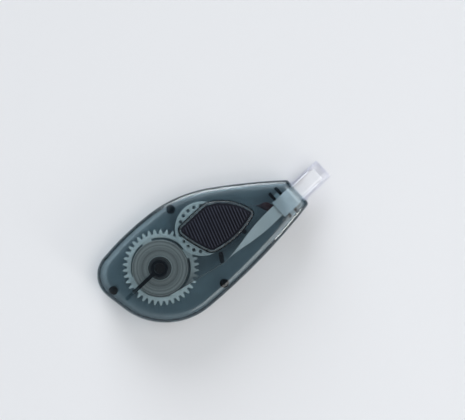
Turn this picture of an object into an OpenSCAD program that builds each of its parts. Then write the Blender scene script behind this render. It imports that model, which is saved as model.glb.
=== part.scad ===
// Hand-held correction tape dispenser, lying on its back face with the applicator towards +X.
// The origin is where the axis of the supply reel meets the back face, and +Z points out of the front.

/* [Tape] */
// Width of the tape
tape_w = 5; // [4:0.5:7]
// Thickness of the two free strands of tape
tape_t = 0.2; // [0.1:0.05:0.3]
// Outer radius of the roll of fresh tape
fresh_roll_r = 10.5; // [7:0.5:11.5]
// Depth of used film wound on the take-up hub
film_depth = 0.9; // [0.4:0.1:3]
// Sideways bow of the slack film on its way back
film_bow = 2; // [0:0.1:3]

/* [Gears] */
// Pitch diameter of a gear divided by its number of teeth
tooth_module = 0.725; // [0.65:0.025:0.8]
// Teeth on the supply gear
gear_teeth = 38; // [34:1:40]
// Teeth on the take-up pinion
pinion_teeth = 22; // [18:1:24]
// Pressure angle of the involute teeth
pressure_angle = 20; // [18:0.5:24]
// Play between meshing teeth along the pitch circle
backlash = 0.14; // [0.06:0.02:0.2]
// Thickness of both gears
gear_t = 1.8; // [1.2:0.1:2.6]
// Arc slots through the supply gear
slot_count = 4; // [3:1:6]
// Width of each arc slot
slot_w = 0.9; // [0.4:0.1:1.2]
// Solid rim between the arc slots and the tooth roots
slot_rim = 1.5; // [1:0.1:2.5]
// Angle left solid between two arc slots
slot_bridge = 20; // [10:1:40]
// Turn of the supply gear at which the first bridge lies
slot_turn = -14; // [-45:1:45]

/* [Supply reel] */
// Radius of the fixed axle under the supply gear
gear_axle_r = 2; // [1.5:0.1:2.6]
// Wall of the tube that stands on the supply gear
gear_tube_wall = 1; // [0.7:0.1:1.5]
// Wall of the core that carries the fresh roll
core_wall = 1.5; // [1:0.1:2.5]
// Thickness of the friction washer
washer_t = 0.3; // [0.2:0.05:0.5]
// Width of the friction washer beyond the tube
washer_w = 1.4; // [0.6:0.1:1.4]
// Thickness of the collar that holds the clutch together
collar_t = 0.6; // [0.4:0.1:1]
// Thickness of the collar's lid over the end of the tube
collar_lid = 0.25; // [0.2:0.05:0.35]
// Width of the collar beyond the tube
collar_w = 0.8; // [0.4:0.1:1.2]

/* [Take-up reel] */
// Radius of the fixed axle under the take-up reel
pinion_axle_r = 1.6; // [1.2:0.1:2]
// Radius of the hub that winds the used film
film_hub_r = 3.5; // [2.6:0.1:4.5]
// Radius of the front flange
flange_r = 10.2; // [9:0.1:10.6]
// Thickness of the front flange
flange_t = 0.8; // [0.5:0.1:1]
// Round holes through the front flange
flange_holes = 21; // [12:1:28]
// Radius of each hole in the flange
flange_hole_r = 0.65; // [0.4:0.05:0.8]
// Rim between the holes and the flange's edge
flange_rim = 1; // [0.6:0.1:2]

/* [Case] */
// Wall of both covers
wall = 1.2; // [0.9:0.1:1.5]
// Width of the rounded edge round both faces
edge_w = 3; // [2:0.1:4]
// Height of the rounded edge round both faces
edge_h = 2.4; // [1.8:0.1:3]
// Reach of the case above the supply axle, square to the reel line
case_top = 17.8; // [17:0.1:20]
// Reach of the case below the supply axle
case_bottom = 23.3; // [21:0.1:26]
// Reach of the case behind the supply axle
case_heel = 21.5; // [20:0.1:24]
// Radius of the round end
round_end_r = 25.8; // [23:0.1:29]
// Distance of the round end's centre in front of the supply axle
round_end_x = 5.3; // [3:0.1:8]
// Radius of the heel
heel_r = 9.9; // [8:0.1:11]
// Height of the heel's centre above the reel line
heel_y = 7.4; // [6:0.1:9]
// Radius of the shoulder
shoulder_r = 49.5; // [44:0.5:55]
// Distance of the shoulder's centre in front of the supply axle
shoulder_x = 6.4; // [4:0.1:9]
// Radius of the long edge from the shoulder to the mouth
upper_edge_r = 235; // [200:5:400]
// Radius of the edge between the heel and the shoulder
top_edge_r = 110; // [90:5:200]
// Radius of the long edge from the round end to the mouth
lower_edge_r = 255; // [220:5:500]
// Distance of the mouth in front of the supply axle
mouth_x = 57.5; // [54:0.5:62]
// Height of the mouth's upper corner from the reel line
mouth_high = -8.4; // [-9.4:0.1:-7.4]
// Height of the mouth's lower corner from the reel line
mouth_low = -20.4; // [-21.4:0.1:-19.4]
// Radius of the mouth's corners
mouth_corner_r = 1.6; // [1:0.1:2.2]
// Height of the lip on the back cover
lip_h = 0.8; // [0.5:0.1:1.2]
// Radius of the snap posts that join the covers
snap_r = 1.7; // [1.4:0.1:2.2]
// Radius of the pin in each snap post
snap_pin_r = 0.9; // [0.6:0.1:1]
// Length of the pin in each snap post
snap_pin_h = 3; // [2:0.1:3.6]
// Place of the upper snap post along the reel line
upper_snap_x = 18.1; // [14:0.1:20]
// Place of the lower snap post along the reel line
lower_snap_x = 13.9; // [10:0.1:18]
// Bearing of the rear snap post about the heel's centre
heel_snap_turn = 194; // [180:1:210]
// Length of the stiffening rib behind the supply axle
rib_l = 17; // [12:0.5:18]
// Thickness of the stiffening rib
rib_t = 1.4; // [0.8:0.1:1.8]
// Radius of the two guide posts
guide_r = 0.85; // [0.6:0.05:0.95]
// Wall of the bosses that hold the ends of the axles
boss_wall = 1.1; // [0.8:0.1:1.4]

/* [Thumb grip] */
// Depth of the pocket that holds the grip
pocket_depth = 0.7; // [0.4:0.1:0.9]
// Plastic left under the pocket
pocket_web = 1; // [0.7:0.1:1.1]
// Wall round the pocket under the front face
pocket_wall = 1.2; // [0.9:0.1:1.4]
// Thickness of the rim that hangs from the edge of that wall
pocket_rim_t = 0.6; // [0.4:0.1:0.8]
// Width of the bead round the pocket
bead_w = 0.7; // [0.4:0.1:1]
// Height of the bead above the front face
bead_rise = 0.3; // [0.15:0.05:0.4]
// Height of the grip above the front face
grip_rise = 0.8; // [0.4:0.1:1.4]
// Distance from rib to rib
grip_pitch = 1.08; // [0.9:0.02:1.4]
// Width of each rib
grip_rib_w = 0.44; // [0.3:0.02:0.6]
// Height of the ribs on the pad
grip_rib_h = 0.5; // [0.3:0.05:0.7]
// Smooth border round the ribs
grip_border = 0.8; // [0.4:0.1:1.2]
// Bearing of the ribs from the reel line
grip_rib_turn = 71; // [50:1:90]

/* [Applicator] */
// Length of the head inside the case
head_l = 10; // [9:0.1:11]
// Thickness of the head's plate
plate_t = 2; // [1.4:0.1:2.4]
// Length of the blade in front of the mouth
blade_l = 10; // [8:0.1:11]
// Radius of the blade's working edge
blade_edge_r = 0.3; // [0.2:0.05:0.5]
// Thickness of the fences beside the tape on the blade
fence_t = 0.45; // [0.3:0.05:0.6]
// Height of the fences above the plate
fence_rise = 0.6; // [0.4:0.1:1]
// Thickness of the head's two cheeks
cheek_t = 0.8; // [0.6:0.1:1]
// Height of the cheeks above the plate
cheek_rise = 1.6; // [1.2:0.1:2]
// Thickness of the bridge over the tape
bridge_t = 0.7; // [0.5:0.1:0.9]
// Length of the ear on each cheek
ear_l = 1.7; // [1.2:0.1:2.2]
// Reach of each ear beyond the cheek
ear_reach = 1.5; // [1:0.1:1.5]
// Distance of the ears behind the mouth
ear_back = 6.9; // [6.2:0.1:7.4]
// Thickness of the ribs before and behind each ear
ear_rib_t = 1.2; // [0.8:0.1:1.4]
// Length of the two ribs that reach towards the shoulder
ear_rib_l = 3.4; // [2:0.1:3.6]

/* [Cap] */
// Outer width of the cap
cap_w = 8.2; // [8:0.1:8.6]
// Outer height of the cap
cap_h = 7; // [6.6:0.1:7.6]
// Room inside the cap in front of the blade
cap_room = 2.1; // [1.2:0.1:3]
// Wall of the cap
cap_wall = 0.8; // [0.6:0.05:0.8]
// Radius of the cap's long edges
cap_edge_r = 1.2; // [1:0.1:1.6]
// Depth that the cap's skirt goes into the mouth
skirt_l = 1; // [0.6:0.1:1.1]
// Thickness of the rim that meets the mouth
rim_t = 0.8; // [0.5:0.1:1.2]
// Reach of the rim beyond the cap's sides
rim_reach = 0.6; // [0.4:0.1:0.8]

/* [Clearances] */
// Radial play of turning pieces on their axles
run_gap = 0.05; // [0.02:0.01:0.08]
// End play between pieces that turn past each other
end_gap = 0.2; // [0.15:0.05:0.4]
// Room between the fixed walls and what turns beside them
turn_room = 0.3; // [0.25:0.05:0.6]
// Play of pieces that slide together or are pushed together
slide_gap = 0.1; // [0.05:0.01:0.15]
// Room between a strand of tape and what it passes
tape_room = 0.1; // [0.05:0.05:0.2]

/* [Hidden] */
$fn = 48;

// Length added to a cutting shape so that it passes through the face it cuts
over = 1;
// Steps in a quarter of a rounded edge
edge_steps = 6;
// Points on one flank of a tooth
flank_steps = 4;
// Step from the foot of a flank down to the root of the tooth
root_step = tooth_module / 20;
// Share of the blade that its fences cover
fence_share = 0.8;

// Heights from the back face to the front face
gear_z = wall + turn_room;
tape_z = gear_z + gear_t + end_gap;
tape_top_z = tape_z + tape_w;
mid_z = tape_z + tape_w / 2;
washer_z = tape_top_z + slide_gap;
collar_z = washer_z + washer_t;
collar_top_z = collar_z + collar_t;
flange_z = tape_top_z + end_gap;
flange_top_z = flange_z + flange_t;
boss_z = max(collar_top_z, flange_top_z) + turn_room;
rib_z = tape_top_z + turn_room;
pocket_boss_z = boss_z + pocket_web / 2;
pocket_z = pocket_boss_z + pocket_web;
case_t = pocket_z + pocket_depth;
roof_z = case_t - wall;

// Posts and ribs are rooted a quarter of the wall deep, which keeps them inside the rounded edges
floor_root_z = wall * 3 / 4;
roof_root_z = case_t - wall * 3 / 4;

// Radii of the gears and of what turns on the axles
gear_pitch_r = gear_teeth * tooth_module / 2;
pinion_pitch_r = pinion_teeth * tooth_module / 2;
take_up_x = gear_pitch_r + pinion_pitch_r;
tooth_foot = 1.25 * tooth_module;
gear_root_r = gear_pitch_r - tooth_foot;
gear_tube_r = gear_axle_r + run_gap + gear_tube_wall;
core_r = gear_tube_r + run_gap + core_wall;
film_roll_r = film_hub_r + film_depth;
slot_outer_r = gear_root_r - slot_rim;

// Head and mouth
head_y = (mouth_high + mouth_low) / 2;
blade_w = tape_w + 2 * tape_room;
cheek_y = blade_w / 2 + tape_room;
cheek_h = plate_t + 2 * cheek_rise;
ear_h = case_t - 2 * edge_h - 2 * slide_gap;
ear_x = mouth_x - ear_back;
nose_l = wall + skirt_l / 2;
cheek_l = head_l - nose_l - slide_gap;
cap_l = blade_l + cap_room + cap_wall;
open_w = cap_w + 2 * slide_gap;
open_h = cap_h + 2 * slide_gap;
tip_x = mouth_x + blade_l - blade_edge_r;
blade_slope = asin((plate_t / 2 - blade_edge_r) / (tip_x - mouth_x));

function unit(turn) = [cos(turn), sin(turn)];
function bearing(from, to) = atan2(to.y - from.y, to.x - from.x);
function arc(centre, r, from, sweep, steps) =
    [for (k = [0:steps]) centre + r * unit(from + sweep * k / steps)];

// Outlines are loops of circles, each [x, y, radius, steps], walked with the inside on the left.
// The edge after each circle is [radius, steps]: an arc that wraps both circles, or 0 for a straight line.
function spot(circle) = [circle.x, circle.y];
function wrap_centre(a, b, r) =
    let (span = norm(spot(b) - spot(a)),
         reach_a = r - a[2],
         reach_b = r - b[2],
         ahead = (reach_a ^ 2 - reach_b ^ 2 + span ^ 2) / (2 * span),
         aside = sqrt(reach_a ^ 2 - ahead ^ 2),
         way = (spot(b) - spot(a)) / span)
    spot(a) + ahead * way + aside * [-way.y, way.x];
function tangent_turn(a, b) =
    bearing(a, b) - 90 + asin((a[2] - b[2]) / norm(spot(b) - spot(a)));
function leave_turn(a, b, r) = r == 0 ? tangent_turn(a, b) : bearing(wrap_centre(a, b, r), a);
function reach_turn(a, b, r) = r == 0 ? tangent_turn(a, b) : bearing(wrap_centre(a, b, r), b);
function sweep_of(from, to) = (to - from + 720) % 360;
function outline(circles, edges) =
    [for (i = [0:len(circles) - 1])
        let (last = (i + len(circles) - 1) % len(circles),
             a = circles[i],
             b = circles[(i + 1) % len(circles)],
             r = edges[i][0],
             enter = reach_turn(circles[last], a, edges[last][0]),
             leave = leave_turn(a, b, r),
             bend = r == 0 ? [] :
                 arc(wrap_centre(a, b, r), r, leave, sweep_of(leave, reach_turn(a, b, r)), edges[i][1]))
        each concat(arc(spot(a), a[2], enter, sweep_of(enter, leave), a[3]),
                    [for (k = [1:1:len(bend) - 2]) bend[k]])];

// Circles of the case outline, moved in by inset
shoulder = [shoulder_x, case_top - shoulder_r];
heel = [heel_r - case_heel, heel_y];
round_end = [round_end_x, round_end_r - case_bottom];
upper_centre = wrap_centre([mouth_x, mouth_high, 0], [each shoulder, shoulder_r], upper_edge_r);
lower_centre = wrap_centre([each round_end, round_end_r], [mouth_x, mouth_low, 0], lower_edge_r);
function corner_r(inset) = max(mouth_corner_r - inset, mouth_corner_r / 8);
function corner(centre, edge_r, side, inset) =
    let (r = corner_r(inset),
         x = mouth_x - inset - r)
    [x, centre.y + side * sqrt((edge_r - inset - r) ^ 2 - (x - centre.x) ^ 2), r, 5];
function case_outline(inset) = outline(
    [corner(lower_centre, lower_edge_r, -1, inset),
     corner(upper_centre, upper_edge_r, 1, inset),
     [each shoulder, shoulder_r - inset, 7],
     [each heel, heel_r - inset, 18],
     [each round_end, round_end_r - inset, 18]],
    [[0, 0], [upper_edge_r - inset, 6], [top_edge_r - inset, 5], [0, 0], [lower_edge_r - inset, 8]]);

// Snap posts stand just clear of the lip
snap_inset = wall + slide_gap + snap_r;
snap_posts = [
    [upper_snap_x,
     shoulder.y + sqrt((shoulder_r - snap_inset) ^ 2 - (upper_snap_x - shoulder.x) ^ 2)],
    [lower_snap_x,
     lower_centre.y - sqrt((lower_edge_r - snap_inset) ^ 2 - (lower_snap_x - lower_centre.x) ^ 2)],
    heel + (heel_r - snap_inset) * unit(heel_snap_turn)];

// Guides, placed from the take-up axle: the bar that bends the fresh tape has two ends
bend_top = [take_up_x - 1.35, -11.7];
bend_low = [take_up_x - 2.8, -13.9];
keeper = [take_up_x + 10.85, -11.6];

// Corners of the thumb grip, each [x, y, radius] from the take-up axle, and the radii of its curved sides
grip_tip = [16.6, -7.7, 0.9];
grip_crown = [5.4, 0.5, 5];
grip_back = [-4.9, 3.9, 1.6];
grip_foot = [-0.9, -6.3, 2.7];
grip_front_r = 19;
grip_back_r = 45;
grip_low_r = 32;
grip_reach = norm(spot(grip_tip)) + grip_tip[2];
function grip_corner(place, grow, steps) = [take_up_x + place.x, place.y, place[2] + grow, steps];
function grip_outline(grow) = outline(
    [grip_corner(grip_tip, grow, 6), grip_corner(grip_crown, grow, 8),
     grip_corner(grip_back, grow, 8), grip_corner(grip_foot, grow, 8)],
    [[grip_front_r + grow, 8], [0, 0], [grip_back_r + grow, 4], [grip_low_r + grow, 6]]);

// Solid through a list of rings with the same number of points, closed at both ends
module loft(rings) {
    count = len(rings[0]);
    top = (len(rings) - 1) * count;
    polyhedron(
        points = [for (ring = rings) each ring],
        faces = [
            [for (k = [0:count - 1]) k],
            for (j = [0:len(rings) - 2], k = [0:count - 1])
                let (low = j * count, next = (k + 1) % count)
                each [[low + k, low + count + k, low + count + next],
                      [low + k, low + count + next, low + next]],
            [for (k = [count - 1:-1:0]) top + k]]);
}

// Wall swept round the case outline along a profile of [inset, height] pairs
module case_shell(profile) {
    loft([for (step = profile) [for (p = case_outline(step[0])) [p.x, p.y, step[1]]]]);
}

// Quarter ellipse of [inset, rise] pairs from the face out to the side, starting at inset first
function rounded_edge(first, w, h) =
    [for (k = [0:edge_steps])
        let (turn = 90 * k / edge_steps)
        [first + w * (1 - sin(turn)), h * (1 - cos(turn))]];
function reversed(list) = [for (k = [len(list) - 1:-1:0]) list[k]];

outer_edge = rounded_edge(0, edge_w, edge_h);
inner_edge = rounded_edge(wall, edge_w - wall, edge_h - wall);
lip_inset = wall / 2;

module tube(r, bore_r, z, h) {
    translate([0, 0, z])
        difference() {
            cylinder(r = r, h = h);
            translate([0, 0, -over])
                cylinder(r = bore_r, h = h + 2 * over);
        }
}

// Spur gear outline with involute flanks, one tooth centred on +X
module gear_outline(teeth) {
    pitch_r = teeth * tooth_module / 2;
    base_r = pitch_r * cos(pressure_angle);
    root_r = pitch_r - tooth_foot;
    tip_r = pitch_r + tooth_module;
    start_r = max(base_r, root_r);
    function roll_turn(r) = let (a = acos(min(1, base_r / r))) tan(a) * 180 / PI - a;
    function half_turn(r) = 90 / teeth - backlash * 90 / PI / pitch_r + roll_turn(pitch_r) - roll_turn(r);
    flank = [[root_r - root_step, half_turn(start_r)],
             for (k = [0:flank_steps])
                 let (r = start_r + (tip_r - start_r) * k / flank_steps)
                 [r, half_turn(r)]];
    polygon([for (i = [0:teeth - 1])
        let (middle = 360 * i / teeth)
        each concat([for (p = flank) p[0] * unit(middle - p[1])],
                    [for (p = reversed(flank)) p[0] * unit(middle + p[1])])]);
}

// Bar along X with rounded long edges, centred on the head's axis
module rounded_bar(x, l, w, h, r) {
    side = w / 2 - r;
    rise = h / 2 - r;
    translate([x, head_y, mid_z])
        rotate([90, 0, 90])
            linear_extrude(l)
                polygon(outline(
                    [[side, -rise, r, 6], [side, rise, r, 6], [-side, rise, r, 6], [-side, -rise, r, 6]],
                    [[0, 0], [0, 0], [0, 0], [0, 0]]));
}

// Box beside the head's axis, and its mirror image on the other side
module both_sides(x, l, y, w, z, h) {
    for (side = [0, 1])
        translate([0, head_y, 0])
            mirror([0, side, 0])
                translate([x, y, z])
                    cube([l, w, h]);
}

module back_cover() color("slategray") {
    difference() {
        case_shell(concat(
            outer_edge,
            [[0, mid_z], [lip_inset + slide_gap / 2, mid_z], [lip_inset + slide_gap / 2, mid_z + lip_h],
             [wall, mid_z + lip_h]],
            [for (step = reversed(inner_edge)) [step[0], step[1] + wall]]));
        rounded_bar(mouth_x - wall - over, wall + 2 * over, open_w, open_h, cap_edge_r);
    }
    cylinder_on_floor(gear_axle_r, boss_z + pocket_web / 4, [0, 0]);
    cylinder_on_floor(pinion_axle_r, pocket_boss_z + pocket_web / 4, [take_up_x, 0]);
    cylinder_on_floor(guide_r, boss_z - turn_room, keeper);
    bend_bar();
    for (place = snap_posts)
        difference() {
            cylinder_on_floor(snap_r, mid_z, place);
            translate([place.x, place.y, mid_z - snap_pin_h - slide_gap])
                cylinder(r = snap_pin_r + slide_gap, h = snap_pin_h + over);
        }
    ear_seats(floor_root_z, mid_z - ear_h / 2 - slide_gap);
    ear_ribs(floor_root_z, mid_z - slide_gap / 2);
}

module cylinder_on_floor(r, top, place) {
    translate([place.x, place.y, floor_root_z])
        cylinder(r = r, h = top - floor_root_z);
}

// Guide with two round ends that bends the fresh tape
module bend_bar() {
    translate([0, 0, floor_root_z])
        linear_extrude(roof_z - turn_room - floor_root_z)
            polygon(outline([[each bend_low, guide_r, 12], [each bend_top, guide_r, 12]], [[0, 0], [0, 0]]));
}

// Seats under or over the head's ears, and ribs before and behind them, from one height to another
module ear_seats(from, to) {
    both_sides(ear_x - ear_l / 2 - slide_gap - ear_rib_t / 2, ear_l + 2 * slide_gap + ear_rib_t,
               cheek_y + cheek_t + slide_gap, ear_reach - slide_gap, from, to - from);
}
module ear_ribs(from, to) {
    near = cheek_y + cheek_t + slide_gap;
    for (x = [ear_x - ear_l / 2 - slide_gap - ear_rib_t, ear_x + ear_l / 2 + slide_gap]) {
        both_sides(x, ear_rib_t, near, ear_reach - slide_gap, from, to - from);
        translate([x, head_y + near, from])
            cube([ear_rib_t, ear_rib_l, to - from]);
    }
}

module front_cover() color("lightslategray") {
    difference() {
        union() {
            case_shell(concat(
                [for (step = inner_edge) [step[0], roof_z - step[1]]],
                [[wall, mid_z + lip_h + slide_gap], [lip_inset, mid_z + lip_h + slide_gap],
                 [lip_inset, mid_z], [0, mid_z]],
                [for (step = reversed(outer_edge)) [step[0], case_t - step[1]]]));
            translate([0, 0, pocket_boss_z])
                linear_extrude(roof_root_z - pocket_boss_z)
                    polygon(grip_outline(pocket_wall));
            pocket_rim();
            pocket_bead();
        }
        translate([0, 0, pocket_z])
            linear_extrude(pocket_depth + over)
                polygon(grip_outline(slide_gap));
        rounded_bar(mouth_x - wall - over, wall + 2 * over, open_w, open_h, cap_edge_r);
        translate([take_up_x, 0, 0])
            cylinder(r = pinion_axle_r + run_gap, h = pocket_boss_z + pocket_web / 2);
    }
    tube(gear_axle_r + run_gap + boss_wall, gear_axle_r + run_gap, boss_z, roof_root_z - boss_z);
    translate([take_up_x, 0, 0])
        tube(pinion_axle_r + run_gap + boss_wall, pinion_axle_r + run_gap, boss_z,
             pocket_boss_z + pocket_web / 4 - boss_z);
    translate([-rib_l, -rib_t / 2, rib_z])
        cube([rib_l - gear_tube_r - washer_w - turn_room, rib_t, roof_root_z - rib_z]);
    translate([-rib_l / 2, -rib_t / 2, boss_z])
        cube([rib_l / 2 - gear_axle_r - boss_wall / 2, rib_t, roof_root_z - boss_z]);
    for (place = snap_posts)
        translate(place) {
            translate([0, 0, mid_z])
                cylinder(r = snap_r, h = roof_root_z - mid_z);
            translate([0, 0, mid_z - snap_pin_h])
                cylinder(r = snap_pin_r, h = snap_pin_h + wall);
        }
    ear_seats(mid_z + ear_h / 2 + slide_gap, roof_root_z);
    ear_ribs(mid_z + slide_gap / 2, roof_root_z);
}

// Rim along the edge of the wall round the pocket, as deep as the bosses
module pocket_rim() {
    translate([0, 0, boss_z])
        linear_extrude(roof_root_z - boss_z)
            difference() {
                polygon(grip_outline(pocket_wall));
                polygon(grip_outline(pocket_wall - pocket_rim_t));
            }
}

// Rounded bead round the pocket, rooted in the front wall
module pocket_bead() {
    profile = concat(
        [[bead_w, roof_root_z]],
        [for (step = reversed(rounded_edge(0, bead_w / 2, bead_rise)))
            [bead_w - step[0], case_t + bead_rise - step[1]]]);
    loft([for (step = profile) [for (p = grip_outline(slide_gap + step[0])) [p.x, p.y, step[1]]]]);
}

module thumb_grip() color("midnightblue") {
    rib_count = ceil(grip_reach / grip_pitch);
    pad_z = case_t + grip_rise - grip_rib_h;
    translate([0, 0, pocket_z])
        linear_extrude(pad_z - pocket_z)
            polygon(grip_outline(0));
    intersection() {
        translate([0, 0, pad_z - pocket_depth])
            linear_extrude(grip_rib_h + pocket_depth)
                polygon(grip_outline(-grip_border));
        for (k = [-rib_count:rib_count])
            translate([take_up_x, 0, pad_z - pocket_depth])
                rotate(grip_rib_turn)
                    translate([-grip_reach, k * grip_pitch, 0])
                        cube([2 * grip_reach, grip_rib_w, grip_rib_h + pocket_depth + over]);
    }
}

module applicator_head() color("whitesmoke") {
    half = plate_t / 2;
    translate([mouth_x, head_y + blade_w / 2, mid_z])
        rotate([90, 0, 0])
            linear_extrude(blade_w)
                polygon(outline([[0, 0, half, 8], [blade_l - blade_edge_r, 0, blade_edge_r, 6]],
                                [[0, 0], [0, 0]]));
    translate([mouth_x - head_l, head_y - cheek_y, mid_z - half])
        cube([head_l, 2 * cheek_y, plate_t]);
    both_sides(mouth_x - head_l, cheek_l, cheek_y, cheek_t, mid_z - cheek_h / 2, cheek_h);
    translate([mouth_x - head_l, head_y - cheek_y - cheek_t / 2, mid_z + cheek_h / 2 - bridge_t])
        cube([cheek_l, 2 * cheek_y + cheek_t, bridge_t]);
    both_sides(ear_x - ear_l / 2, ear_l, cheek_y + cheek_t / 2, ear_reach + cheek_t / 2,
               mid_z - ear_h / 2, ear_h);
    blade_fences();
}

// Fences keep the tape on the blade and stop short of its working edge
module blade_fences() {
    reach = blade_l * fence_share;
    root = half_height(0) + fence_rise;
    for (side = [-1, 1])
        translate([mouth_x, head_y + side * blade_w / 2 + (side > 0 ? fence_t : 0), mid_z])
            rotate([90, 0, 0])
                linear_extrude(fence_t)
                    polygon([[-nose_l, -root], [reach / 2, -root], [reach, -half_height(reach)],
                             [reach, half_height(reach)], [reach / 2, root], [-nose_l, root]]);
}
function half_height(x) = plate_t / 2 / cos(blade_slope) - x * tan(blade_slope);

module cap() color("aliceblue") {
    bore_w = cap_w - 2 * cap_wall;
    bore_h = cap_h - 2 * cap_wall;
    bore_r = cap_edge_r - cap_wall / 2;
    difference() {
        union() {
            rounded_bar(mouth_x - skirt_l, skirt_l + cap_l, cap_w, cap_h, cap_edge_r);
            rounded_bar(mouth_x + slide_gap, rim_t, cap_w + 2 * rim_reach, cap_h + 2 * rim_reach,
                        cap_edge_r + rim_reach);
        }
        rounded_bar(mouth_x - skirt_l - over, skirt_l + cap_l - cap_wall + over, bore_w, bore_h, bore_r);
    }
}

module supply_gear() color("lightcyan") {
    slot_sweep = 360 / slot_count - slot_bridge;
    translate([0, 0, gear_z])
        difference() {
            linear_extrude(gear_t)
                gear_outline(gear_teeth);
            translate([0, 0, -over])
                cylinder(r = gear_axle_r + run_gap, h = gear_t + 2 * over);
            for (k = [0:slot_count - 1])
                rotate(slot_turn + slot_bridge / 2 + k * 360 / slot_count)
                    translate([0, 0, -over])
                        rotate_extrude(angle = slot_sweep)
                            translate([slot_outer_r - slot_w, 0])
                                square([slot_w, gear_t + 2 * over]);
        }
    tube(gear_tube_r, gear_axle_r + run_gap, gear_z + gear_t / 2,
         collar_top_z - collar_lid - gear_z - gear_t / 2);
}

module friction_washer() color("dimgray") {
    tube(gear_tube_r + washer_w, gear_tube_r + run_gap / 2, washer_z, washer_t);
}

module clutch_collar() color("darkslategray") {
    difference() {
        tube(gear_tube_r + collar_w, gear_axle_r + run_gap, collar_z, collar_t);
        translate([0, 0, collar_z - over])
            cylinder(r = gear_tube_r + run_gap / 2, h = collar_t - collar_lid + over);
    }
}

module supply_core() color("gainsboro") {
    tube(core_r, gear_tube_r + run_gap, tape_z, tape_w);
}

module fresh_tape_roll() color("rosybrown") {
    tube(fresh_roll_r, core_r + run_gap / 2, tape_z, tape_w);
}

module take_up_pinion() color("lightcyan") {
    translate([take_up_x, 0, 0]) {
        translate([0, 0, gear_z])
            difference() {
                linear_extrude(gear_t)
                    rotate(180 + 180 / pinion_teeth)
                        gear_outline(pinion_teeth);
                translate([0, 0, -over])
                    cylinder(r = pinion_axle_r + run_gap, h = gear_t + 2 * over);
            }
        tube(film_hub_r, pinion_axle_r + run_gap, gear_z + gear_t / 2, flange_z - gear_z - gear_t / 2);
    }
}

module take_up_flange() color("azure") {
    translate([take_up_x, 0, flange_z])
        difference() {
            cylinder(r = flange_r, h = flange_t, $fn = 96);
            translate([0, 0, -over])
                cylinder(r = pinion_axle_r + run_gap, h = flange_t + 2 * over);
            for (k = [0:flange_holes - 1])
                rotate(360 * k / flange_holes)
                    translate([flange_r - flange_rim - flange_hole_r, 0, -over])
                        cylinder(r = flange_hole_r, h = flange_t + 2 * over, $fn = 16);
        }
}

module used_film_roll() color("saddlebrown") {
    translate([take_up_x, 0, 0])
        tube(film_roll_r, film_hub_r + run_gap / 2, tape_z, tape_w);
}

// Cross-section of a strand at place: upright at roll 0 and lying flat at roll 90
function strand_ring(place, heading, roll) =
    let (left = [-sin(heading), cos(heading), 0],
         up = [0, 0, 1],
         across = (cos(roll) * up + sin(roll) * left) * tape_w / 2,
         through = (cos(roll) * left - sin(roll) * up) * tape_t / 2)
    [place - through - across, place + through - across, place + through + across, place - through + across];

// Cross-section of a strand that lies on the head, pitched up or down
function flat_ring(x, z, pitch) =
    let (across = [0, tape_w / 2, 0],
         through = [sin(pitch), 0, -cos(pitch)] * tape_t / 2,
         place = [x, head_y, mid_z + z])
    [place - through - across, place + through - across, place + through + across, place - through + across];

// Rings that carry a strand from one place to the head, bowed sideways and turned flat over the rest of
// the way from the share flat_from on
twist_steps = 12;
function twist_rings(from, side, flat_from, bow) =
    let (to = [mouth_x - head_l, head_y],
         span = norm(to - from),
         heading = bearing(from, to),
         left = unit(heading + 90),
         rise = side * strand_offset())
    [for (k = [0:twist_steps])
        let (share = k / twist_steps,
             lay = max(0, (share - flat_from) / (1 - flat_from)),
             ease = lay * lay * (3 - 2 * lay),
             place = from + (to - from) * share + left * bow * 4 * share * (1 - share),
             way = heading + atan(bow * 4 * (1 - 2 * share) / span))
        strand_ring([place.x, place.y, mid_z + rise * ease], way * (1 - ease), 90 * ease)];
function strand_offset() = plate_t / 2 + tape_room + tape_t / 2;

// Rings along one face of the head and round half of the blade's edge
edge_turns = 4;
function head_rings(side) =
    let (wrap_r = blade_edge_r + tape_room + tape_t / 2)
    [flat_ring(mouth_x, side * strand_offset(), -side * blade_slope / 2),
     for (k = [0:edge_turns])
         let (turn = 90 - blade_slope - (90 - blade_slope) * k / edge_turns)
         flat_ring(tip_x + wrap_r * cos(turn), side * wrap_r * sin(turn), -side * (90 - turn))];

module fresh_tape_strand() color("white") {
    roll = [0, 0, fresh_roll_r + turn_room + tape_t / 2];
    bend = [each bend_low, guide_r + tape_room + tape_t / 2];
    start = tangent_turn(roll, bend);
    finish = tangent_turn(bend, [mouth_x - head_l, head_y, 0]);
    bend_steps = 3;
    loft(concat(
        [strand_ring([each roll[2] * unit(start), mid_z], start + 90, 0)],
        [for (k = [0:bend_steps])
            let (turn = start + (finish - start) * k / bend_steps)
            strand_ring([each bend_low + bend[2] * unit(turn), mid_z], turn + 90, 0)],
        [for (k = [1:twist_steps]) twist_rings(bend_low + bend[2] * unit(finish), 1, 0, 0)[k]],
        head_rings(1)));
}

module used_film_strand() color("saddlebrown") {
    roll = [take_up_x, 0, film_roll_r + turn_room + tape_t / 2];
    start = tangent_turn(roll, [mouth_x - head_l, head_y, 0]);
    loft(concat(twist_rings(spot(roll) + roll[2] * unit(start), -1, 0.3, film_bow), head_rings(-1)));
}

back_cover();
front_cover();
thumb_grip();
applicator_head();
cap();
supply_gear();
friction_washer();
clutch_collar();
supply_core();
fresh_tape_roll();
take_up_pinion();
take_up_flange();
used_film_roll();
fresh_tape_strand();
used_film_strand();
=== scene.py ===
import math
import random

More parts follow.
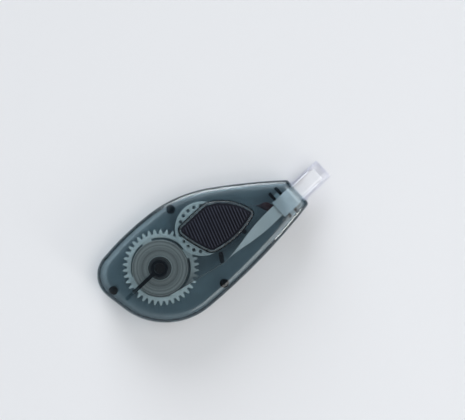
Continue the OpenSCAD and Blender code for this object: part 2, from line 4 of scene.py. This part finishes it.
import bmesh
import bpy
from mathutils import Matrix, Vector


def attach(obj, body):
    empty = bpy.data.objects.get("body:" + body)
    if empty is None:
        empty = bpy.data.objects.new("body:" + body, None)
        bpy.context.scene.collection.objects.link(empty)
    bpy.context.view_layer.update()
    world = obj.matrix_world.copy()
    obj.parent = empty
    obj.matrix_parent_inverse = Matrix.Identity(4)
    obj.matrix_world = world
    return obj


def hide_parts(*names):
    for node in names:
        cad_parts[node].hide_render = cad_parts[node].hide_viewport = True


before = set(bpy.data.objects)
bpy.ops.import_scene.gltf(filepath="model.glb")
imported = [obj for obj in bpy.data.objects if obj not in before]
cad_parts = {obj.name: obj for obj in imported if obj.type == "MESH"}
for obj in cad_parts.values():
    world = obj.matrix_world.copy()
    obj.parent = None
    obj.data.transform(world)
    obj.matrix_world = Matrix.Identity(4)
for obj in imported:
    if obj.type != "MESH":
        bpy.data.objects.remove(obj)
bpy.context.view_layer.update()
scene = bpy.context.scene
scene.view_settings.view_transform = "Standard"

# Camera. It looks straight down on the front face, as the dispenser lies on its back,
# and is turned so that the applicator points up and to the right.
MM = 0.001
picture_w = 465
pixels_per_mm = 2.65
aim = Vector((34.8, -2.63, 6.0)) * MM
nose_turn = math.radians(43)
camera_height = 0.42
lens = bpy.data.cameras.new("camera")
lens.sensor_width = 36
lens.lens = lens.sensor_width * camera_height / (picture_w / pixels_per_mm * MM)
lens.clip_start = 0.01
camera = bpy.data.objects.new("camera", lens)
camera.location = aim + Vector((0, 0, camera_height))
camera.rotation_euler = (0, 0, -nose_turn)
scene.collection.objects.link(camera)
scene.camera = camera


# Case. Two halves moulded in clear smoke-grey styrene with a polished skin, snapped together on
# three posts. The plastic itself takes out the light, so a thick edge looks darker than a thin wall.
class Socket:
    """An output of a node in a node tree. Sums on it add Math nodes."""

    def __init__(self, tree, plug):
        self.tree, self.plug = tree, plug

    @classmethod
    def node(cls, tree, kind, settings=None, inputs=None, output=0):
        """Adds a node, sets it up, then sets or links its inputs. Gives one of its outputs."""
        made = tree.nodes.new("ShaderNode" + kind)
        for name, value in (settings or {}).items():
            if name == "stops":
                ramp = made.color_ramp
                while len(ramp.elements) < len(value):
                    ramp.elements.new(0.5)
                for element, (place, colour) in zip(ramp.elements, value):
                    element.position = place
                    element.color = (*colour, 1)
            else:
                setattr(made, name, value)
        for name, value in (inputs or {}).items():
            if isinstance(value, Socket):
                tree.links.new(value.plug, made.inputs[name])
            else:
                made.inputs[name].default_value = value
        return cls(tree, made.outputs[output])

    def sum_of(self, operation, first, second):
        return Socket.node(self.tree, "Math", {"operation": operation}, {0: first, 1: second})

    def __add__(self, other):
        return self.sum_of("ADD", self, other)

    def __sub__(self, other):
        return self.sum_of("SUBTRACT", self, other)

    def __mul__(self, other):
        return self.sum_of("MULTIPLY", self, other)

    def __rsub__(self, other):
        return self.sum_of("SUBTRACT", other, self)

    def __pow__(self, other):
        return self.sum_of("POWER", self, other)

    __radd__, __rmul__ = __add__, __mul__

    def is_below(self, limit):
        return self.sum_of("LESS_THAN", self, limit)

    def is_above(self, limit):
        return self.sum_of("GREATER_THAN", self, limit)


def new_finish(name):
    """A material with an empty node tree. Gives the material and its tree."""
    finish = bpy.data.materials.new(name)
    finish.use_nodes = True
    finish.node_tree.nodes.clear()
    return finish, finish.node_tree


def show(tree, surface, filling=None):
    """Joins a shader, and what fills the solid, to the material's output."""
    made = tree.nodes.new("ShaderNodeOutputMaterial")
    tree.links.new(surface.plug, made.inputs["Surface"])
    if filling:
        tree.links.new(filling.plug, made.inputs["Volume"])


def along(tree, axis):
    """Place on the part along one axis, in metres."""
    place = Socket.node(tree, "TexCoord", output="Object")
    return Socket.node(tree, "SeparateXYZ", inputs={0: place}, output=axis)


def noise(tree, per_mm, detail=2.0):
    """Even noise through the solid, with about this many lumps to the millimetre."""
    place = Socket.node(tree, "TexCoord", output="Object")
    return Socket.node(tree, "TexNoise", inputs={
        "Vector": place, "Scale": per_mm / MM, "Detail": detail, "Roughness": 0.5}, output="Fac")


def bump(tree, height, depth_mm):
    """Normal of a surface that rises by this depth where the height is 1."""
    return Socket.node(tree, "Bump", inputs={"Height": height, "Strength": 1.0, "Distance": depth_mm * MM})


def clear_plastic(name, tint, roughness, ior, waviness_mm, body, face_z=None, painted_shade_layer=None):
    """Polished plastic that is seen through without bending, with a mirror of its own on top.
    What stands proud of the face is left less polished, and some of the rest may get painted shade."""
    waves_per_mm, scuffs_per_mm = 0.12, 2.5
    polish_share, scuff_share, proud_roughness = 0.7, 0.6, 0.3
    finish, tree = new_finish(name)
    skin = bump(tree, noise(tree, waves_per_mm), waviness_mm)
    blur = noise(tree, scuffs_per_mm, detail=4.0) * (scuff_share * roughness) + polish_share * roughness
    if face_z:
        blur = blur + along(tree, "Z").is_above(face_z * MM) * proud_roughness
    through = Socket.node(tree, "BsdfTransparent", inputs={"Color": (*tint, 1)})
    gloss = Socket.node(tree, "BsdfAnisotropic", inputs={
        "Color": (1, 1, 1, 1), "Roughness": blur, "Normal": skin})
    head_on = ((ior - 1) / (ior + 1)) ** 2
    grazing = Socket.node(tree, "LayerWeight", inputs={"Blend": 0.5, "Normal": skin}, output="Facing")
    mirror = grazing ** 5 * (1 - head_on) + head_on
    surface = Socket.node(tree, "MixShader", inputs={0: mirror, 1: through, 2: gloss})
    if painted_shade_layer:
        surface = painted_shade_layer(tree, surface)
    colour, density = body
    filling = Socket.node(tree, "VolumeAbsorption", inputs={"Color": (*colour, 1), "Density": density})
    show(tree, surface, filling)
    return finish


weld_gap = 1e-6


def shading_group(sharp_angle):
    """Modifier that welds a piece's faces and shades them round, except at edges sharper than this."""
    group = bpy.data.node_groups.new("round_shading_%d" % sharp_angle, "GeometryNodeTree")
    group.interface.new_socket("Geometry", in_out="INPUT", socket_type="NodeSocketGeometry")
    group.interface.new_socket("Geometry", in_out="OUTPUT", socket_type="NodeSocketGeometry")
    start, end = group.nodes.new("NodeGroupInput"), group.nodes.new("NodeGroupOutput")
    weld = group.nodes.new("GeometryNodeMergeByDistance")
    weld.inputs["Distance"].default_value = weld_gap
    plain = group.nodes.new("GeometryNodeRemoveAttribute")
    plain.inputs["Name"].default_value = "custom_normal"
    smooth = group.nodes.new("GeometryNodeSetShadeSmooth")
    angle = group.nodes.new("GeometryNodeInputMeshEdgeAngle")
    sharp = group.nodes.new("FunctionNodeCompare")
    sharp.operation = "GREATER_THAN"
    sharp.inputs["B"].default_value = math.radians(sharp_angle)
    crease = group.nodes.new("GeometryNodeSetShadeSmooth")
    crease.domain = "EDGE"
    crease.inputs["Shade Smooth"].default_value = False
    for plug, hole in ((start.outputs[0], weld.inputs["Geometry"]),
                       (weld.outputs[0], plain.inputs["Geometry"]),
                       (plain.outputs[0], smooth.inputs["Geometry"]),
                       (smooth.outputs[0], crease.inputs["Geometry"]),
                       (angle.outputs["Unsigned Angle"], sharp.inputs["A"]),
                       (sharp.outputs[0], crease.inputs["Selection"]),
                       (crease.outputs[0], end.inputs[0])):
        group.links.new(plug, hole)
    return group


round_shading = shading_group(33)


def shade_round(piece):
    """Shades a piece round on its curves and crisp at its edges."""
    piece.modifiers.new("round_shading", "NODES").node_group = round_shading


def soften_edges(piece, width_mm):
    """Breaks the sharp edges that a mould leaves, by this much."""
    weld = piece.modifiers.new("weld", "WELD")
    weld.merge_threshold = weld_gap
    flat = piece.modifiers.new("flat_faces", "DECIMATE")
    flat.decimate_type = "DISSOLVE"
    flat.angle_limit = math.radians(0.5)
    edge = piece.modifiers.new("edge", "BEVEL")
    edge.width = width_mm * MM
    edge.segments = 2
    edge.limit_method = "ANGLE"
    edge.angle_limit = math.radians(40)
    edge.use_clamp_overlap = True


def dress(node, finish, edge_mm=None):
    """Gives a CAD node its finish and its shading, and breaks its edges by edge_mm."""
    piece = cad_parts[node]
    piece.data.materials.clear()
    piece.data.materials.append(finish)
    if edge_mm:
        soften_edges(piece, edge_mm)
    shade_round(piece)


rib_ends_z, rib_ends_x = (8.0, 10.05), (-13.6, 45.0)
# Share of painted shade laid over the down-facing ends.
painted_shade_cover = 0.8
down_limit = -0.9


def painted_shade_ends(tree, surface):
    """Ends of the rib, rim and bosses under the front, where they face down: painted shade, a dark dull
    shader that stands in for the shade seen there.
    """
    x, z = along(tree, "X"), along(tree, "Z")
    facing = Socket.node(tree, "NewGeometry", output="True Normal")
    tilt = Socket.node(tree, "SeparateXYZ", inputs={0: facing}, output="Z")
    from_within = Socket.node(tree, "NewGeometry", output="Backfacing")
    down = (tilt * (1 - 2 * from_within)).is_below(down_limit)
    end = (z.is_above(rib_ends_z[0] * MM) * z.is_below(rib_ends_z[1] * MM)
           * x.is_above(rib_ends_x[0] * MM) * x.is_below(rib_ends_x[1] * MM))
    # Painted shade: this dark dull shader is mixed over the faces that look down.
    dark = Socket.node(tree, "BsdfPrincipled", inputs={
        "Base Color": (0.012, 0.020, 0.028, 1), "Roughness": 0.75, "Specular IOR Level": 0.2})
    return Socket.node(tree, "MixShader", inputs={0: down * end * painted_shade_cover, 1: surface, 2: dark})


scene.cycles.transparent_max_bounces = 64
# The case gets painted shade on the down-facing ends of its rib, rim and bosses.
smoke = clear_plastic(
    "smoke_case", tint=(0.995, 0.998, 0.998), roughness=0.06, ior=1.59, waviness_mm=0.002,
    body=((0.11, 0.31, 0.385), 480), face_z=12.02, painted_shade_layer=painted_shade_ends)
for half in ("back_cover", "front_cover"):
    dress(half, smoke)


# Reels. Supply gear, roll core and take-up flange are moulded in pale natural acetal with a fine
# grain. They turn on the axles of the back cover.
def moulded(name, colour, roughness, spread=0.04, grain_mm=0.006, coat=0.0):
    """Opaque moulded plastic with slight shifts of shade and a fine grain."""
    clouds_per_mm, grains_per_mm, roughness_play = 0.18, 3.0, 0.16
    finish, tree = new_finish(name)
    clouds = noise(tree, clouds_per_mm, detail=3.0)
    grain = noise(tree, grains_per_mm, detail=4.0)
    pale = [min(1, c * (1 + spread)) for c in colour]
    dark = [c * (1 - spread) for c in colour]
    shade = Socket.node(tree, "ValToRGB", {"stops": [(0.3, dark), (0.7, pale)]}, {0: clouds})
    surface = Socket.node(tree, "BsdfPrincipled", inputs={
        "Base Color": shade, "Roughness": grain * roughness_play + (roughness - roughness_play / 2),
        "Coat Weight": coat, "Normal": bump(tree, grain, grain_mm)})
    show(tree, surface)
    return finish


wheel_edge = 0.07
acetal = moulded("reel_plastic", (0.84, 0.87, 0.85), roughness=0.36)
for wheel in ("supply_gear", "supply_core", "take_up_flange"):
    dress(wheel, acetal, wheel_edge)


# Slip clutch and pinion. A thin washer of dark fibre rubs on the roll core, and a black collar
# pressed on the gear's tube holds the two together. The pinion under the flange is black as well.
dark_fibre = moulded("washer_fibre", (0.10, 0.095, 0.09), roughness=0.7, spread=0.2, grain_mm=0.02)
dress("friction_washer", dark_fibre)
black_nylon = moulded("collar_nylon", (0.02, 0.022, 0.025), roughness=0.42)
for small_wheel in ("clutch_collar", "take_up_pinion"):
    dress(small_wheel, black_nylon, wheel_edge)


# Fresh roll. Correction tape wound in one spiral on the core: white coat and brown carrier film lie
# in turn, so the side of the roll is a grey-brown disc of fine rings that stand a little uneven.
tape_low, tape_high = 3.5, 8.5
core_r, fresh_roll_r = 4.63, 10.5


def finished_mesh(name, work):
    """Turns a mesh in mm into an object in metres, with its faces pointing out."""
    bmesh.ops.recalc_face_normals(work, faces=work.faces)
    bmesh.ops.scale(work, vec=(MM, MM, MM), verts=work.verts)
    for face in work.faces:
        face.smooth = True
    mesh = bpy.data.meshes.new(name)
    work.to_mesh(mesh)
    work.free()
    piece = bpy.data.objects.new(name, mesh)
    scene.collection.objects.link(piece)
    return piece


def join_loops(work, loops):
    """Faces between each closed loop of points and the next."""
    for a, b in zip(loops, loops[1:]):
        for i in range(len(a)):
            n = (i + 1) % len(a)
            work.faces.new((a[i], a[n], b[n], b[i]))


def eased(share):
    """Goes from 0 to 1 with a gentle start and end."""
    return share * share * (3 - 2 * share)


def wound_roll(name, axis_x, inner, outer, turns, lift, seed):
    """Closed solid of a band wound in one spiral, in mm. Each turn's edge stands at its own height."""
    rng = random.Random(seed)
    heights = [rng.random() for _ in range(turns + 3)]
    columns = 120
    least_rise, slope_share = 0.45, 0.2
    pitch = (outer - inner) / turns

    def unevenness(place):
        k = int(math.floor(place))
        ease = eased(place - k)
        return heights[k] * (1 - ease) + heights[k + 1] * ease

    work = bmesh.new()
    loops = []
    for j in range(columns + 1):
        share = j / columns
        turn = 2 * math.pi * share
        edge = []
        for k in range(-1, turns):
            near = min(max(inner + pitch * (k + share), inner), outer)
            far = min(max(inner + pitch * (k + 1 + share), inner), outer)
            rise = lift * (far - near) / pitch
            top = rise * (least_rise + (1 - least_rise) * unevenness(k + 1 + share))
            slope = slope_share * (far - near)
            edge += [(near, 0.0), (near + slope, top), (far - slope, top)]
        edge.append((outer, 0.0))
        points = [(r, tape_high - lift + z) for r, z in edge]
        points += [(r, tape_low + lift - z) for r, z in reversed(edge)]
        loops.append([work.verts.new((axis_x + r * math.cos(turn), r * math.sin(turn), z))
                      for r, z in points])
    join_loops(work, loops)
    bmesh.ops.remove_doubles(work, verts=work.verts, dist=1e-5)
    return finished_mesh(name, work)


def wound_finish(name, axis_x, pale, dark, ring_mm, roughness):
    """Edges of many thin layers: fine rings about the roll's axis."""
    roughness_play, ring_depth_mm = 0.2, 0.03
    finish, tree = new_finish(name)
    place = Socket.node(tree, "TexCoord", output="Object")
    centred = Socket.node(tree, "VectorMath", {"operation": "SUBTRACT"}, {0: place, 1: (axis_x * MM, 0, 0)})
    flat = Socket.node(tree, "VectorMath", {"operation": "MULTIPLY"}, {0: centred, 1: (1, 1, 0)})
    radius = Socket.node(tree, "VectorMath", {"operation": "LENGTH"}, {0: flat}, output="Value")
    rings = Socket.node(tree, "TexNoise", {"noise_dimensions": "1D"}, {
        "W": radius, "Scale": 1 / (ring_mm * MM), "Detail": 3.0, "Roughness": 0.7}, output="Fac")
    shade = Socket.node(tree, "ValToRGB", {"stops": [(0.3, dark), (0.7, pale)]}, {0: rings})
    surface = Socket.node(tree, "BsdfPrincipled", inputs={
        "Base Color": shade, "Roughness": rings * roughness_play + (roughness - roughness_play / 2),
        "Normal": bump(tree, rings, ring_depth_mm)})
    show(tree, surface)
    return finish


fresh_roll = wound_roll("fresh_roll", 0, core_r, fresh_roll_r, turns=14, lift=0.16, seed=4)
fresh_roll.data.materials.append(wound_finish(
    "wound_tape", 0, pale=(0.60, 0.565, 0.53), dark=(0.25, 0.23, 0.215), ring_mm=1.2, roughness=0.55))
shade_round(fresh_roll)
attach(fresh_roll, "supply_reel")
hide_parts("fresh_tape_roll")


# Used film. The bare brown carrier film that comes back from the blade, thin and glossy, wound on
# the hub of the pinion under the flange. Only a few turns are on the hub.
take_up_x = 21.75
film_hub_r, film_roll_r = 3.53, 4.4
film_roll = wound_roll("film_roll", take_up_x, film_hub_r, film_roll_r, turns=5, lift=0.12, seed=9)
film_roll.data.materials.append(wound_finish(
    "wound_film", take_up_x, pale=(0.17, 0.075, 0.06), dark=(0.08, 0.035, 0.03), ring_mm=0.25, roughness=0.4))
shade_round(film_roll)
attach(film_roll, "take_up_reel")
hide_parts("used_film_roll")


# Applicator head. One white moulding: a holder with ears that sit in the covers, and a thin blade
# with low fences whose rounded edge presses the tape on the paper.
head_edge = 0.12
white_styrene = moulded("head_white", (0.93, 0.94, 0.96), roughness=0.33, spread=0.025)
dress("applicator_head", white_styrene, head_edge)


# Tape path. The fresh strand leaves the roll, passes the bent guide and turns flat on its way to
# the blade; it is a brown carrier film with a white coat. The bare film goes back under the blade.
guide = Vector((18.95, -13.9))
guide_r = 0.85
head_rear = Vector((47.5, -14.4))
mouth_x, tip_x = 57.5, 67.2
mid_z = 6.0
tape_w, coat_w = 5.0, 4.9
plate_half, tip_r = 1.0, 0.3
film_t, coat_t = 0.08, 0.07
clear = 0.16
over_plate = plate_half + clear
run_steps, plate_steps, blade_steps = 36, 6, 8


def unit(turn):
    """Arrow of length 1 at this bearing."""
    return Vector((math.cos(turn), math.sin(turn)))


def tangent_turn(a, ra, b, rb):
    """Bearing of the point where a line leaves circle a for circle b, with both on its left."""
    way = b - a
    return math.atan2(way.y, way.x) - math.pi / 2 + math.asin((ra - rb) / way.length)


def upright(place, heading, lay=0.0, z=mid_z):
    """Cross-section of a strand: its centre, across its width, and through it to the left."""
    left = Vector((-math.sin(heading), math.cos(heading), 0))
    up = Vector((0, 0, 1))
    across = up * math.cos(lay) + left * math.sin(lay)
    return Vector((place.x, place.y, z)), across, left * math.cos(lay) - up * math.sin(lay)


def round_roll(centre, r, first, last, steps):
    """Sections that follow a roll's outside between two bearings."""
    turns = [first + (last - first) * k / steps for k in range(steps + 1)]
    return [upright(centre + unit(t) * r, t + math.pi / 2) for t in turns]


def to_head(start, side, flat_from, slack):
    """Sections on the way to the head, which turn the strand from upright to flat in a slack bow."""
    way = head_rear - start
    heading = math.atan2(way.y, way.x)
    sections = []
    for k in range(1, run_steps + 1):
        share = k / run_steps
        ease = eased(max(0.0, (share - flat_from) / (1 - flat_from)))
        place = start + way * share + unit(heading + math.pi / 2) * (slack * 4 * share * (1 - share))
        turn = heading + math.atan(slack * 4 * (1 - 2 * share) / way.length)
        z = mid_z + side * over_plate * ease
        sections.append(upright(place, turn * (1 - ease), math.pi / 2 * ease, z))
    return sections


def over_head(side):
    """Sections along one face of the head and half round the blade's edge."""
    across, down = Vector((0, 1, 0)), Vector((0, 0, -1))
    slope = math.asin((plate_half - tip_r) / (tip_x - mouth_x))
    tilt = side * slope
    wrap_r = tip_r + clear
    sections = []
    for k in range(1, plate_steps + 1):
        x = head_rear.x + (mouth_x - head_rear.x) * k / plate_steps
        sections.append((Vector((x, head_rear.y, mid_z + side * over_plate)), across, down))
    for k in range(1, blade_steps + 1):
        share = k / blade_steps
        z = over_plate * (1 - share) + wrap_r * math.cos(slope) * share
        x = mouth_x + (tip_x + wrap_r * math.sin(slope) - mouth_x) * share
        through = Vector((-math.sin(tilt), 0, -math.cos(tilt)))
        sections.append((Vector((x, head_rear.y, mid_z + side * z)), across, through))
    for k in range(1, blade_steps + 1):
        turn = (math.pi / 2 - slope) * (1 - k / blade_steps)
        out = Vector((math.cos(turn), 0, side * math.sin(turn)))
        sections.append((Vector((tip_x, head_rear.y, mid_z)) + out * wrap_r, across, -side * out))
    return sections


def hollow(before, after, depth):
    """Depth of the hollow across a strand at each section: none on the rolls and on the head."""
    free = [depth * math.sin(math.pi * k / run_steps) ** 2 for k in range(1, run_steps + 1)]
    return [0.0] * before + free + [0.0] * after


def ribbon(name, finish, sections, low, high, width, cup):
    """Thin closed band through the sections, between two depths, hollowed a little across its width."""
    lanes = [-1, -0.92, -0.6, -0.3, 0, 0.3, 0.6, 0.92, 1]
    work = bmesh.new()
    loops = []
    for (place, across, through), bow in zip(sections, cup):
        low_side = [place + across * (u * width / 2) + through * (low + bow * (1 - u * u)) for u in lanes]
        high_side = [place + across * (u * width / 2) + through * (high + bow * (1 - u * u)) for u in lanes]
        loops.append([work.verts.new(p) for p in low_side + high_side[::-1]])
    join_loops(work, loops)
    last = 2 * len(lanes) - 1
    for end in (loops[0], loops[-1]):
        for i in range(len(lanes) - 1):
            work.faces.new((end[i], end[i + 1], end[last - 1 - i], end[last - i]))
    piece = finished_mesh(name, work)
    piece.data.materials.append(finish)
    return piece


supply_axis, take_up_axis = Vector((0, 0)), Vector((take_up_x, 0))
peel_r, bend_r = fresh_roll_r + clear, guide_r + clear
peel_turn, fresh_hollow = math.radians(50), 0.22
leave = tangent_turn(supply_axis, peel_r, guide, bend_r)
straighten = tangent_turn(guide, bend_r, head_rear, 0)
on_roll = (round_roll(supply_axis, peel_r, leave - peel_turn, leave, 16)
           + round_roll(guide, bend_r, leave, straighten, 6))
on_head = over_head(1)
fresh_run = to_head(guide + unit(straighten) * bend_r, 1, flat_from=0.0, slack=0.0)
fresh_sections = on_roll + fresh_run + on_head
fresh_cup = hollow(len(on_roll), len(on_head), fresh_hollow)

film_r = film_roll_r + clear
film_slack, film_flat_from = 5.5, 0.7
film_wrap_turn, film_hollow = math.radians(70), 0.15
rise = tangent_turn(take_up_axis, film_r, head_rear, 0)
for _ in range(20):
    # The bow turns the film's start, so the place where it leaves the roll is found in steps.
    way = head_rear - take_up_axis - unit(rise) * film_r
    rise = math.atan2(way.y, way.x) + math.atan(4 * film_slack / way.length) - math.pi / 2
on_hub = round_roll(take_up_axis, film_r, rise - film_wrap_turn, rise, 12)
under_head = over_head(-1)
film_run = to_head(take_up_axis + unit(rise) * film_r, -1, film_flat_from, film_slack)
film_sections = on_hub + film_run + under_head
film_cup = hollow(len(on_hub), len(under_head), film_hollow)

carrier = moulded(
    "carrier_film", (0.075, 0.022, 0.032), roughness=0.32, spread=0.12, grain_mm=0.004, coat=0.3)
coat_white = moulded("tape_coat", (0.88, 0.88, 0.87), roughness=0.62, spread=0.04, grain_mm=0.012)
film_low, film_high = -film_t / 2, film_t / 2
fresh_film = ribbon("fresh_film", carrier, fresh_sections, film_low, film_high, tape_w, fresh_cup)
fresh_coat = ribbon("fresh_coat", coat_white, fresh_sections, film_low - coat_t, film_low, coat_w, fresh_cup)
used_film = ribbon("used_film", carrier, film_sections, film_low, film_high, tape_w, film_cup)
for strand, slot in ((fresh_film, "used_film"), (fresh_coat, "fresh_tape"), (used_film, "used_film")):
    shade_round(strand)
    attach(strand, "case")
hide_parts("fresh_tape_strand")
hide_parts("used_film_strand")


# Thumb grip. A soft near-black pad with moulded ribs, glued in a pocket of the front half. The tops
# of the ribs are rubbed smooth and a little lighter, and the grooves between them are dull and carry painted
# shade.
rib_top, groove_floor, rub_margin = 12.8, 12.3, 0.05
# The groove colour is painted shade; the rib colours are the rubber, lighter where rubbed.
groove_shade_black, rib_black, rubbed_black = (0.002, 0.0025, 0.007), (0.012, 0.015, 0.026), (0.020, 0.024, 0.040)
grains_per_mm, patches_per_mm = 5.0, 0.3
grain_depth, grip_edge = 0.012, 0.1
grip_rubber, tree = new_finish("grip_rubber")
rub_and_groove_shade = Socket.node(tree, "MapRange", {"interpolation_type": "SMOOTHSTEP"}, {
    "Value": along(tree, "Z"), "From Min": (groove_floor + rub_margin) * MM,
    "From Max": (rib_top - rub_margin) * MM})
grain = noise(tree, grains_per_mm, detail=4.0)
patch = noise(tree, patches_per_mm, detail=3.0)
# Painted shade: the colour darkens from the rib tops down to the groove floors.
shade = Socket.node(
    tree, "ValToRGB", {"stops": [(0.0, groove_shade_black), (0.85, rib_black), (1.0, rubbed_black)]},
    {0: rub_and_groove_shade * 0.8 + patch * 0.3})
show(tree, Socket.node(tree, "BsdfPrincipled", inputs={
    "Base Color": shade, "Roughness": 0.85 - rub_and_groove_shade * 0.3 + grain * 0.1, "Specular IOR Level": 0.3,
    "Normal": bump(tree, grain, grain_depth)}))
dress("thumb_grip", grip_rubber, grip_edge)


# Cap. Clear styrene with a rim that meets the mouth, pushed over the blade and held by friction.
# It keeps dust off the blade and pulls straight off along the applicator.
crystal = clear_plastic(
    "clear_cap", tint=(0.996, 0.996, 0.999), roughness=0.05, ior=1.45, waviness_mm=0.003,
    body=((0.60, 0.63, 0.80), 95))
dress("cap", crystal)


# Table and lamps. A pale table in a grey room, under one high soft box and a narrow one, with the glow
# of a window beyond the shoulder. The flat face mirrors the dim ceiling and stays dark, and only its
# rounded edges catch the lamps and the window.
table_half, table_drop = 4.0, 0.0002
work = bmesh.new()
bmesh.ops.create_grid(work, x_segments=1, y_segments=1, size=table_half)
table_mesh = bpy.data.meshes.new("table")
work.to_mesh(table_mesh)
work.free()
table = bpy.data.objects.new("table", table_mesh)
table.location = (aim.x, aim.y, -table_drop)
scene.collection.objects.link(table)
table_finish, tree = new_finish("table_white")
show(tree, Socket.node(tree, "BsdfPrincipled", inputs={
    "Base Color": (0.82, 0.82, 0.83, 1), "Roughness": 0.8, "Specular IOR Level": 0.2}))
table.data.materials.append(table_finish)

lamp_distance = 1.6


def soft_box(name, azimuth, elevation, width, height, power, colour):
    """Area lamp that looks at the dispenser from this bearing and height."""
    lamp = bpy.data.lights.new(name, "AREA")
    lamp.shape = "RECTANGLE"
    lamp.size, lamp.size_y = width, height
    lamp.energy = power
    lamp.color = colour
    piece = bpy.data.objects.new(name, lamp)
    a, e = math.radians(azimuth), math.radians(elevation)
    away = Vector((math.cos(e) * math.cos(a), math.cos(e) * math.sin(a), math.sin(e)))
    piece.location = aim + away * lamp_distance
    piece.rotation_euler = away.to_track_quat("Z", "Y").to_euler()
    scene.collection.objects.link(piece)


soft_box("key", azimuth=-50, elevation=66, width=1.7, height=0.9, power=9.0, colour=(1.0, 0.995, 0.98))
soft_box("slit", azimuth=-80.5, elevation=22, width=0.22, height=0.5, power=4.2, colour=(1, 1, 1))

world = bpy.data.worlds.new("studio")
world.use_nodes = True
tree = world.node_tree
tree.nodes.clear()
direction = Socket.node(tree, "TexCoord", output="Generated")
height = Socket.node(tree, "SeparateXYZ", inputs={0: direction}, output="Z")
left_wall, window_middle = (-0.87, -0.5, 0), (0.468, 0.845, 0.259)
wall_shades = [(0.0, (0.10, 0.10, 0.11)), (0.3, (0.14, 0.14, 0.15)),
               (0.65, (0.50, 0.51, 0.53)), (1.0, (0.62, 0.64, 0.67))]
horizon_pale, upper_grey, ceiling_dark = (0.86, 0.86, 0.88, 1), (0.42, 0.43, 0.44, 1), (0.12, 0.13, 0.15, 1)
window_tint, window_light = (0.88, 0.94, 1.0, 1), 11.0


def towards(bearing):
    """How well a direction in the room agrees with a bearing: 1 along it, -1 against it."""
    return Socket.node(tree, "VectorMath", {"operation": "DOT_PRODUCT"}, {
        0: direction, 1: bearing}, output="Value")


def rising(start, end, below, above):
    """One colour below a height and another above it, with a soft change between."""
    share = Socket.node(tree, "ValToRGB", {"stops": [(start, (0, 0, 0)), (end, (1, 1, 1))]}, {0: height})
    return Socket.node(tree, "Mix", {"data_type": "RGBA"}, {0: share, 6: below, 7: above}, output=2)


walls = Socket.node(tree, "ValToRGB", {"stops": wall_shades}, {0: towards(left_wall) * 0.5 + 0.5})
room = rising(0.55, 0.72, walls, upper_grey)
room = rising(0.945, 0.985, room, ceiling_dark)
room = rising(0.12, 0.24, horizon_pale, room)
glow = Socket.node(tree, "Background", inputs={"Color": room, "Strength": 1.0})
pane = Socket.node(tree, "MapRange", {"interpolation_type": "SMOOTHSTEP"}, {
    "Value": towards(window_middle), "From Min": 0.90, "From Max": 0.995, "To Max": window_light})
window = Socket.node(tree, "Background", inputs={"Color": window_tint, "Strength": pane})
light = Socket.node(tree, "AddShader", inputs={0: glow, 1: window})
made = tree.nodes.new("ShaderNodeOutputWorld")
tree.links.new(light.plug, made.inputs["Surface"])
scene.world = world
